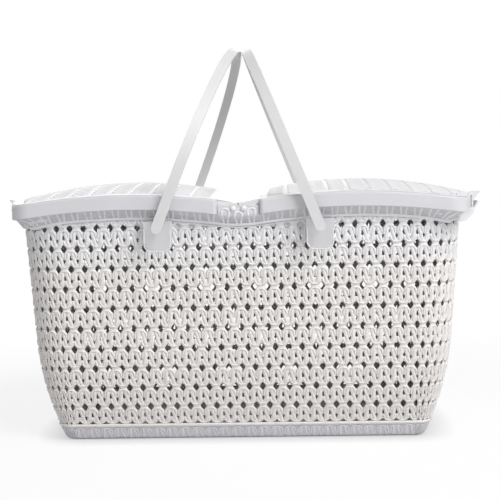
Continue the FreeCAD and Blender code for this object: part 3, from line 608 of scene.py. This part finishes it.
def halfRound(middle, half, reach):
    # half an ellipse standing on a wall, from its lower to its upper side
    angles = np.linspace(-math.pi / 2, math.pi / 2, 9)
    return [(middle + half * math.sin(a), reach * math.cos(a)) for a in angles]


def basePlaces():
    for column in range(stitchesRound):
        yield (column + 0.5 - stitchesRound / 2) * stitchPitch, baseBand["neck"]


def fitBase(points):
    # trims a stitch to the height of the base band
    held = (points[:, 1] < baseBand["high"]) & (points[:, 1] > baseBand["low"])
    points[:, 1] = np.clip(points[:, 1], baseBand["low"], baseBand["high"])
    return points, np.append(held, False)


beadSize = knit["baseBeadReach"] + baseBand["out"]
sweepRound("base_bead", halfRound(knit["baseBead"], beadSize, beadSize), onWall, knitPlastic)
# the base band's ground takes the darker plastic: painted shade between the cords
ground = [(baseBand["low"], 0.0)]
ground += [(baseBand["low"] + n * baseBand["step"], baseBand["out"]) for n in range(1, 8)]
sweepRound("base_ground", ground, onFoot, groundShadePlastic)
inside = [(height, baseBand["inside"]) for height in (19.6 * mm, 17 * mm, 10 * mm)]
sweepRound("tray_inside", inside, onWall, bodyPlastic)
relief = baseBand["relief"]
bandCords, bandFaces = merge(stitchCords(0.0, relief, relief * 0.8, baseBand["slim"]))
points, faces = stamp(bandCords, bandFaces, basePlaces(), fitBase, np.any)
baseCords = meshObject("base_cords", onFoot(points), faces, basePlastic, "basket")
print("stage: base band")


# cords are drawn in millimetres on their own sheet, as the stitches are
frieze = {
    "bead": 3.4 * mm, "beadMiddle": 0.35 * mm, "beadHalf": 1.95 * mm, "beadReach": 1.9 * mm,
    "ground": 0.1 * mm, "cord": 1.05, "relief": 0.95, "low": 2.0, "high": 3.5, "panelHalf": 23.4 * mm,
    "levelHalf": 36 * mm, "loopPitch": 14.75 * mm, "loopCord": 1.15, "loopRelief": 1.25, "tall": 14.3,
    "short": 11.0, "headHalf": 4.3, "pearlRadius": 3.5 * mm, "pearlApart": 6 * mm,
    "pearlHeight": 19.2 * mm, "pearlFlat": 0.95, "panelGap": 4 * mm,
    "lipCord": 0.75, "lipRelief": 0.6, "lipDrop": 0.9 * mm,
}


def keptFaces(name, node, keepFace, material, reshape=None, body="basket"):
    # a copy of a CAD node without the faces that are made anew
    source = nodes[node].data
    points = np.array([v.co[:] for v in source.vertices])
    faces = []
    for polygon in source.polygons:
        corners = points[list(polygon.vertices)]
        if keepFace(corners, np.array(polygon.normal)):
            faces.append(tuple(polygon.vertices))
    if reshape:
        reshape(points)
    obj = meshObject(name, points, faces, material, body, False)
    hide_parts(node)


def keepRim(corners, normal):
    # bosses, top and inside: the plain foot lies under the knit, and the outside is made anew
    near, aside, under = 0.2 * mm, 0.02 * mm, 0.3 * mm
    x, y, _ = corners.mean(axis=0)
    touches = (np.abs(corners[:, 2] - seam) < near).any()
    foot = touches and abs(normal[0]) < 0.95 and corners[:, 2].min() > seam - near
    onEnd = abs(x) > cornerX + 1 * mm
    centre = math.copysign(cornerX, x) if onEnd else x
    outward = normal[0] * (x - centre) + normal[1] * y > aside
    low = beadTop(corners[:, 0], corners[:, 1]) - frieze["bead"] - under
    aboveFoot = (corners[:, 2] > (seam + 0.5 * mm if onEnd else low)).all()
    return not (foot or outward and aboveFoot)


def levelPanel(points):
    # the middle panels end level
    middle = (np.abs(points[:, 0]) < frieze["levelHalf"]) & (points[:, 2] > panelTop)
    points[middle, 2] = panelTop


def keepTray(corners, normal):
    # the floor and the inside, but not the outside of the foot
    x, y, z = corners.mean(axis=0)
    centre = np.clip(x, -cornerX, cornerX)
    outside = z < baseBand["neck"] and normal[0] * (x - centre) + normal[1] * y > 0
    facesFloor = normal[2] < -0.99
    return corners[:, 2].max() < baseBand["trayHigh"] and (facesFloor or not outside)


panelTop = lidShape["beadCrown"] - float(archDrop(0)) + lidShape["rim"]
for side in ("front", "back", "left", "right"):
    keptFaces("rim_band_" + side, "rim_" + side, keepRim, cordPlastic, levelPanel)
keptFaces("tray_base", "base_tray", keepTray, bodyPlastic)
print("stage: rims and tray")


rimBead = halfRound(frieze["beadMiddle"], frieze["beadHalf"], frieze["beadReach"])
sweepRound("rim_bead", rimBead, onRim, cordPlastic)
top = lidShape["frieze"]
# the frieze's ground takes the darker plastic: painted shade under the skirts and between the cords
ground = [(top * share, frieze["ground"]) for share in (0, 0.15, 0.3, 0.46, 0.62, 0.8, 0.99)]
sweepRound("frieze_ground", ground, onRim, groundShadePlastic)


def friezeCords():
    # pairs of thin cords that run down towards each other, one pair to a stitch
    height = lidShape["frieze"] / mm - 0.1
    rise = np.linspace(0, height, 5)
    spread = frieze["low"] + (frieze["high"] - frieze["low"]) * (rise / height) ** 0.8
    lines = [np.column_stack([side * spread, rise]) for side in (-1, 1)]
    return [ridge(line, frieze["cord"], 0, frieze["relief"]) for line in lines]


def loopCord(middle):
    # a teardrop loop that stands on the bead
    width = frieze["headHalf"]
    half = [(-2.3, 0.2), (-2.5, 0.3 * middle), (-3.5, 0.68 * middle), (-width, middle)]
    turns = [n * math.pi / 8 for n in (1, 2, 3)]
    arc = [(-width * math.cos(a), middle + width * math.sin(a)) for a in turns]
    left = half + arc
    line = curveLine(left + [(0, middle + width)] + mirrored(left), 41)
    return ridge(line, frieze["loopCord"], 0, frieze["loopRelief"])


def pearl(centre):
    # slightly flattened half ball on the rim's lip
    rows = []
    for polar in np.linspace(0, math.pi / 2, 7):
        for turn in np.linspace(0, 2 * math.pi, 25):
            across = frieze["pearlRadius"] * math.sin(polar)
            out = frieze["pearlFlat"] * frieze["pearlRadius"] * math.cos(polar)
            height = frieze["pearlHeight"] + across * math.sin(turn)
            rows.append((centre + across * math.cos(turn), height, out))
    return onRim(rows), gridFaces(7, 25)


# sizes on the face of a boss, in millimetres
boss = {
    "centre": 91.8, "half": 15.5, "foot": 224.3, "corner": 9, "top": 250,
    "cord": 0.65, "relief": 0.4, "in": 0.75,
}


def bossEdge():
    # thin raised line round a boss
    half, corner, low = boss["half"] - boss["in"], boss["corner"] - boss["in"], boss["foot"] + boss["in"]
    turns = np.linspace(0, math.pi / 2, 6)
    right = [(half - corner + corner * math.sin(a), low + corner - corner * math.cos(a)) for a in turns]
    right += [(half, boss["top"])]
    return ridge(mirrored(right) + right, boss["cord"], -0.1, boss["relief"])


bossFace = -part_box("rim_front")[0].y
edgePoints, edgeFaces = bossEdge()
parts = []
for turnX, turnY in ((-1, -1), (1, -1), (-1, 1), (1, 1)):
    across = turnX * boss["centre"] * mm - turnY * edgePoints[:, 0] * mm
    depth = turnY * (bossFace + edgePoints[:, 2] * mm)
    parts.append((np.stack([across, depth, edgePoints[:, 1] * mm], 1), edgeFaces))
points, faces = merge(parts)
edges = meshObject("boss_edges", points, faces, cordPlastic, "basket")


cordPoints, cordFaces = merge(friezeCords())
spacing = 4 * quarterRun / stitchesRound
parts = []
for number in range(stitchesRound):
    run = number * spacing - 2 * quarterRun
    beside = abs(abs(abs(run) - quarterRun) - quarterRun)
    if beside > frieze["panelHalf"] + frieze["panelGap"]:
        parts.append((onRim(cordPoints * mm + (run, 0, frieze["ground"])), cordFaces))
points, faces = merge(parts)
cords = meshObject("frieze_cords", points, faces, cordPlastic, "basket")


def panelPiece(name, parts, material):
    points, faces = merge(parts)
    obj = meshObject(name, points, faces, material, "basket")


for side, middle in (("front", 0.0), ("back", 2 * quarterRun)):
    half = frieze["panelHalf"]
    runs = np.linspace(-half, half, 25)
    tops = panelTop - onRim(np.column_stack([runs + middle, runs * 0, runs * 0]))[:, 2]
    plate = []
    for run, high in zip(runs, tops):
        for height in (0.5 * mm, 0.3 * top, 0.62 * top, 0.8 * top, top, (top + high) / 2, high - 0.2 * mm):
            plate.append((run + middle, height, frieze["ground"] + 0.05 * mm))
    panelPiece("panel_ground_" + side, [(onRim(plate), gridFaces(25, 7))], panelPlastic)
    parts = []
    for number in (-2, -1, 0, 1, 2):
        points, faces = loopCord(frieze["tall"] if number % 2 else frieze["short"])
        points = points * mm + (number * frieze["loopPitch"], 0, frieze["ground"])
        seen = np.abs(points[:, 0]) < half
        inPanel = [f for f in faces if seen[list(f)].all()]
        parts.append((onRim(points + (middle, 0, 0)), inPanel))
    edge = np.column_stack([runs, tops - frieze["lipDrop"]]) / mm
    points, faces = ridge(edge, frieze["lipCord"], 0, frieze["lipRelief"])
    parts.append((onRim(points * mm + (middle, 0, frieze["ground"])), faces))
    panelPiece("panel_loops_" + side, parts, cordPlastic)
    pearls = [pearl(middle - frieze["pearlApart"]), pearl(middle + frieze["pearlApart"])]
    panelPiece("panel_pearls_" + side, pearls, cordPlastic)
print("stage: frieze and panels")


lidLook = {
    "border": 9 * mm, "ease": 3 * mm, "ground": 0.95 * mm, "start": 31 * mm, "inset": 0.15 * mm,
    "notch": 172 * mm, "lipStart": 1 * mm, "lipSoft": 0.8 * mm, "rows": 13, "aside": 12,
    "cordCrest": -0.02, "strandCrest": -0.15,
    "pathStep": 5 * mm, "skirtEdge": 0.6 * mm,
}
skirtInside = BowPlan(skirtEnd - lidShape["thickness"], skirtSide - lidShape["thickness"],
                      lidShape["skirtCorner"] - lidShape["thickness"])
shellPlan = BowPlan(skirtInside.end - lidLook["inset"], skirtInside.side - lidLook["inset"],
                    skirtInside.corner - lidLook["inset"])


def shellReach(y, plan):
    # how far along the basket a plan reaches at a depth
    y = np.abs(y)
    bowEnd = plan.bow * math.sin(plan.tilt)
    bow = np.sqrt(plan.bow**2 - y**2) - bodyShape["bowCentre"]
    corner = plan.cornerX + np.sqrt(np.maximum(plan.corner**2 - np.maximum(y - plan.cornerY, 0) ** 2, 0))
    return np.where(y < bowEnd, bow, corner)


def knitDepth(x, y):
    # how far the ground between the lid's stitches lies below the smooth border
    inner = BowPlan(shellPlan.end - lidLook["border"], shellPlan.side - lidLook["border"],
                    shellPlan.corner - lidLook["border"])
    toEnd = shellReach(np.minimum(np.abs(y), inner.side), inner) - x
    inside = np.minimum(np.minimum(inner.side - np.abs(y), toEnd), x - lidLook["start"])
    share = np.clip(inside / lidLook["ease"], 0, 1)
    return lidLook["ground"] * share * share * (3 - 2 * share)


def lidDome():
    # smooth top of the right lid, sunk a little where it is knit
    acrossHalf = shellPlan.side * np.sin(np.linspace(0, math.pi / 2, 45))
    across = np.concatenate([-acrossHalf[:0:-1], acrossHalf])
    shares = np.linspace(0, 1, 110)
    reach = shellReach(across, shellPlan)
    x = lidStart + (reach[:, None] - lidStart) * shares[None, :]
    notched = np.where(x < skirtStart + 1 * mm, lidLook["notch"] / shellPlan.side, 1)
    y = across[:, None] * notched
    z = lidHeight(x, y) - knitDepth(x, y)
    points = np.stack([x, y, z], 2).reshape(-1, 3)
    return points, gridFaces(len(across), len(shares))


def lipWalls():
    # upright edges behind the middle panels, from the dome down past the panel's top
    parts = []
    soft = lidLook["lipSoft"]
    for side in (-1, 1):
        rows = []
        for x in np.linspace(lidLook["lipStart"], skirtStart + 1.5 * mm, 12):
            high = float(lidHeight(max(x, lidStart), lidLook["notch"]))
            for out, z in ((-1 * mm, high - 0.1 * mm), (0.1 * mm, high - 0.3 * mm), (soft, high - soft),
                           (soft, panelTop - 1.5 * mm)):
                rows.append((x, side * (lidLook["notch"] + out - soft), z))
        parts.append((rows, gridFaces(12, 4)))
    return merge(parts)


def lidPlaces():
    for row in range(lidLook["rows"]):
        shift = 0.5 if row % 2 else 0.0
        for column in range(-lidLook["aside"], lidLook["aside"] + 1):
            yield (column + shift) * stitchPitch, -(lidLook["start"] + row * knit["row"] * mm)


def fitLid(points):
    # keeps the stitches that lie inside the smooth border
    held = knitDepth(-points[:, 1], points[:, 0]) > lidLook["ground"] * 0.5
    return points, np.append(held, True)


def lidCords():
    # the basket's stitches in low relief, in rows from the hinge to the end
    cords = stitchCords(-lidLook["ground"] / mm, lidLook["cordCrest"], lidLook["strandCrest"], 1)
    cell, cellFaces = merge(cords)
    points, faces = stamp(cell, cellFaces, lidPlaces(), fitLid, np.all)
    x, y = -points[:, 1], -points[:, 0]
    return np.stack([x, y, lidHeight(x, y) + points[:, 2]], 1), faces


def skirtBand():
    # smooth band with a softened upper edge round the outside of the right lid
    rows = skirtPlan.path(skirtStart, lidLook["pathStep"])
    soft, wide, high = lidShape["skirtRound"], lidShape["thickness"], lidShape["skirt"]
    edge = lidLook["skirtEdge"]
    section = [(-wide, -high), (-edge, -high), (0, edge - high), (0, edge - high + 0.4 * mm)]
    section += [(0, -soft - 0.4 * mm), (0, -soft)]
    turns = np.linspace(0.2, math.pi / 2, 6)
    section += [(soft * (math.cos(a) - 1), soft * (math.sin(a) - 1)) for a in turns]
    section += [(-wide, 0), (-wide, -high)]
    lineX = rows[:, 0] - rows[:, 2] * rimInset
    lineY = rows[:, 1] - rows[:, 3] * rimInset
    line = rimLine(lineX, lineY)
    points = []
    for (x, y, outX, outY), z in zip(rows, line):
        points += [(x + outX * reach, y + outY * reach, z + rise) for reach, rise in section]
    faces = gridFaces(len(rows), len(section))
    last = len(points) - len(section)
    faces.append(tuple(range(len(section) - 1)))
    faces.append(tuple(last + n for n in reversed(range(len(section) - 1))))
    return points, faces


def keepShell(corners, normal):
    # the underside, the edges and the hinge knuckles, but not the top
    x, y, z = corners.T
    onTop = (np.abs(z - lidHeight(x, y, sloped)) < 0.6 * mm).all()
    return not (onTop and normal[2] > 0.5)


for side, sign in (("right", 1), ("left", -1)):
    turn = np.array([sign, sign, 1])
    body = "lid_" + side
    for name, (points, faces) in (("dome", lidDome()), ("stitches", lidCords()), ("lip", lipWalls())):
        dome = meshObject("lid_%s_%s" % (name, side), np.asarray(points) * turn, faces, lidPlastic, body)
    keptFaces("lid_under_" + side, "lid_shell_" + side, keepShell, lidPlastic, None, body)
    points, faces = skirtBand()
    skirt = meshObject("skirt_" + side, np.asarray(points) * turn, faces, skirtPlastic, body)
    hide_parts("lid_skirt_" + side)
print("stage: lids")


def paint(node, material):
    # gives a CAD node its own finish
    obj = nodes[node]
    if not obj.material_slots:
        obj.data.materials.append(material)
    for slot in obj.material_slots:
        slot.material = material


for side in ("left", "right"):
    paint("handle_" + side, handlePlastic)
    paint("lid_latch_" + side, lidPlastic)
    paint("catch_" + side, cordPlastic)
paint("lid_hinge_pins", bodyPlastic)


# a catch's end plates: their faces from the middle, and its mouth and step in millimetres
cheek = {"inner": 28.6 * mm, "outer": 30.4 * mm, "mouth": 7.7, "step": 12.9}


def cheekPlates(low, high):
    # plate that closes one end of a catch: under the hook, up to the mouth and back round the skirt's edge
    wide, top = (high.x - low.x) / mm, cheek["step"]
    outline = [(0.8, 0.1), (13.6, 2.2), (21.2, 10.9), (wide - cheek["mouth"] + 3.5, 19.3), (16.2, 19.3),
               (16.2, top + 1.3), (8, top + 1.3), (0.8, 4)]
    count = len(outline)
    depths = (cheek["inner"], cheek["outer"])
    points = [(low.x + x * mm, y, low.z + z * mm) for y in depths for x, z in outline]
    faces = [tuple(range(count)), tuple(range(2 * count - 1, count - 1, -1))]
    faces += [(n, n + count, (n + 1) % count + count, (n + 1) % count) for n in range(count)]
    return np.array(points), faces


catchLow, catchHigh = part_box("catch_right")
points, faces = cheekPlates(catchLow, catchHigh)
flipped = [tuple(reversed(f)) for f in faces]
for side, sign in (("right", 1), ("left", -1)):
    near, far = (flipped, faces) if sign > 0 else (faces, flipped)
    bothEnds, bothFaces = merge([(points * (sign, 1, 1), near), (points * (sign, -1, 1), far)])
    ends = meshObject("catch_ends_" + side, bothEnds, bothFaces, cordPlastic, "basket", False)


# least is the floor's glow in the painted contact shadow at the basket's foot, and contact is how far that
# shade reaches
floorLook = {
    "seen": 0.15, "bounce": 0.84, "least": 0.48, "lift": 0.835, "half": 6.0, "contact": 0.034,
    "fadeStart": 0.4, "fadeEnd": 0.95,
}


def farFromBasket(tree, ray):
    # 0 round the basket and 1 far away, for the camera only, so that floor and background meet unseen
    coordinates = tree.nodes.new("ShaderNodeTexCoord")
    distance = tree.nodes.new("ShaderNodeVectorMath")
    distance.operation = "LENGTH"
    tree.links.new(coordinates.outputs["Object"], distance.inputs[0])
    fade = tree.nodes.new("ShaderNodeMapRange")
    fade.inputs["From Min"].default_value = floorLook["fadeStart"]
    fade.inputs["From Max"].default_value = floorLook["fadeEnd"]
    tree.links.new(distance.outputs["Value"], fade.inputs["Value"])
    seen = tree.nodes.new("ShaderNodeMath")
    seen.operation = "MULTIPLY"
    tree.links.new(fade.outputs["Result"], seen.inputs[0])
    tree.links.new(ray.outputs["Is Camera Ray"], seen.inputs[1])
    return seen.outputs["Value"]


def stageMaterial():
    # white floor that still takes the object's shadow, with a painted contact shadow round the basket's
    # foot
    material = bpy.data.materials.new("paleFloor")
    material.use_nodes = True
    tree = material.node_tree
    tree.nodes.clear()
    output = tree.nodes.new("ShaderNodeOutputMaterial")
    diffuse = tree.nodes.new("ShaderNodeBsdfDiffuse")
    glow = tree.nodes.new("ShaderNodeEmission")
    ray = tree.nodes.new("ShaderNodeLightPath")
    grey = tree.nodes.new("ShaderNodeMapRange")
    grey.inputs["To Min"].default_value = floorLook["bounce"]
    grey.inputs["To Max"].default_value = floorLook["seen"]
    tree.links.new(ray.outputs["Is Camera Ray"], grey.inputs["Value"])
    tree.links.new(grey.outputs["Result"], diffuse.inputs["Color"])
    # ambient occlusion dims the camera's glow near the basket: painted contact shadow
    shade = tree.nodes.new("ShaderNodeAmbientOcclusion")
    shade.inputs["Distance"].default_value = floorLook["contact"]
    lift = tree.nodes.new("ShaderNodeMapRange")
    lift.inputs["To Min"].default_value = floorLook["least"]
    lift.inputs["To Max"].default_value = floorLook["lift"]
    tree.links.new(shade.outputs["AO"], lift.inputs["Value"])
    scale = tree.nodes.new("ShaderNodeMath")
    scale.operation = "MULTIPLY"
    tree.links.new(lift.outputs["Result"], scale.inputs[1])
    tree.links.new(ray.outputs["Is Camera Ray"], scale.inputs[0])
    tree.links.new(scale.outputs["Value"], glow.inputs["Strength"])
    both = tree.nodes.new("ShaderNodeAddShader")
    tree.links.new(diffuse.outputs["BSDF"], both.inputs[0])
    tree.links.new(glow.outputs["Emission"], both.inputs[1])
    white = tree.nodes.new("ShaderNodeEmission")
    mix = tree.nodes.new("ShaderNodeMixShader")
    tree.links.new(farFromBasket(tree, ray), mix.inputs["Fac"])
    tree.links.new(both.outputs["Shader"], mix.inputs[1])
    tree.links.new(white.outputs["Emission"], mix.inputs[2])
    tree.links.new(mix.outputs["Shader"], output.inputs["Surface"])
    return material


def makeFloor():
    mesh = bpy.data.meshes.new("floor")
    half = floorLook["half"]
    corners = [(-half, -half, 0), (half, -half, 0), (half, half, 0), (-half, half, 0)]
    mesh.from_pydata(corners, [], [(0, 1, 2, 3)])
    mesh.materials.append(stageMaterial())
    floor = bpy.data.objects.new("floor", mesh)
    bpy.context.scene.collection.objects.link(floor)
    floor.location.z = -0.2 * mm


worldLook = {"colour": (0.97, 0.98, 1, 1), "strength": 0.33}


def makeWorld():
    # soft grey light all round, seen as white by the camera and in reflections
    world = bpy.data.worlds.new("studio")
    world.use_nodes = True
    tree = world.node_tree
    tree.nodes.clear()
    output = tree.nodes.new("ShaderNodeOutputWorld")
    seen = tree.nodes.new("ShaderNodeBackground")
    seen.inputs["Color"].default_value = (1, 1, 1, 1)
    seen.inputs["Strength"].default_value = 1
    light = tree.nodes.new("ShaderNodeBackground")
    light.inputs["Color"].default_value = worldLook["colour"]
    light.inputs["Strength"].default_value = worldLook["strength"]
    ray = tree.nodes.new("ShaderNodeLightPath")
    shown = ray.outputs["Is Camera Ray"]
    for kind in ("Is Glossy Ray", "Is Transmission Ray"):
        either = tree.nodes.new("ShaderNodeMath")
        either.operation = "MAXIMUM"
        tree.links.new(shown, either.inputs[0])
        tree.links.new(ray.outputs[kind], either.inputs[1])
        shown = either.outputs["Value"]
    mix = tree.nodes.new("ShaderNodeMixShader")
    tree.links.new(shown, mix.inputs["Fac"])
    tree.links.new(light.outputs["Background"], mix.inputs[1])
    tree.links.new(seen.outputs["Background"], mix.inputs[2])
    tree.links.new(mix.outputs["Shader"], output.inputs["Surface"])
    bpy.context.scene.world = world


lamps = {
    "keyLight": {"place": (1.4, -1.7, 2.1), "size": 1.7, "power": 75},
    "fillLight": {"place": (-1.6, -2.2, 1.1), "size": 1.8, "power": 5},
    "backLight": {"place": (-0.5, 2.3, 0.9), "size": 1.6, "power": 12},
}


def areaLight(name, place, size, power):
    # round soft light that faces the basket
    lamp = bpy.data.lights.new(name, "AREA")
    lamp.shape = "DISK"
    lamp.size = size
    lamp.energy = power
    obj = bpy.data.objects.new(name, lamp)
    bpy.context.scene.collection.objects.link(obj)
    obj.location = place
    centre = Vector((0, 0, cadBox[1][2] * 0.4))
    obj.rotation_euler = (centre - obj.location).to_track_quat("-Z", "Y").to_euler()


cameraLook = {
    "sensor": 36, "lens": 80.63, "far": 50, "place": (0.0557, -1.4356, 0.2821),
    "yaw": -0.0343, "pitch": -0.0454, "roll": -0.019,
}


def makeCamera():
    camera = bpy.data.cameras.new("camera")
    camera.sensor_width = cameraLook["sensor"]
    camera.lens = cameraLook["lens"]
    camera.clip_end = cameraLook["far"]
    obj = bpy.data.objects.new("camera", camera)
    bpy.context.scene.collection.objects.link(obj)
    yaw, pitch, roll = cameraLook["yaw"], cameraLook["pitch"], cameraLook["roll"]
    forward = Vector((math.sin(yaw) * math.cos(pitch), math.cos(yaw) * math.cos(pitch), math.sin(pitch)))
    right = forward.cross(Vector((0, 0, 1))).normalized()
    up = right.cross(forward)
    turnedRight = right * math.cos(roll) + up * math.sin(roll)
    turnedUp = up * math.cos(roll) - right * math.sin(roll)
    rows = [(turnedRight[n], turnedUp[n], -forward[n]) for n in range(3)]
    obj.rotation_euler = Matrix(rows).to_euler()
    obj.location = cameraLook["place"]
    bpy.context.scene.camera = obj


makeFloor()
makeWorld()
for name, lamp in lamps.items():
    areaLight(name, lamp["place"], lamp["size"], lamp["power"])
makeCamera()
bpy.context.scene.view_settings.view_transform = "Standard"
print("stage: floor, light and camera")
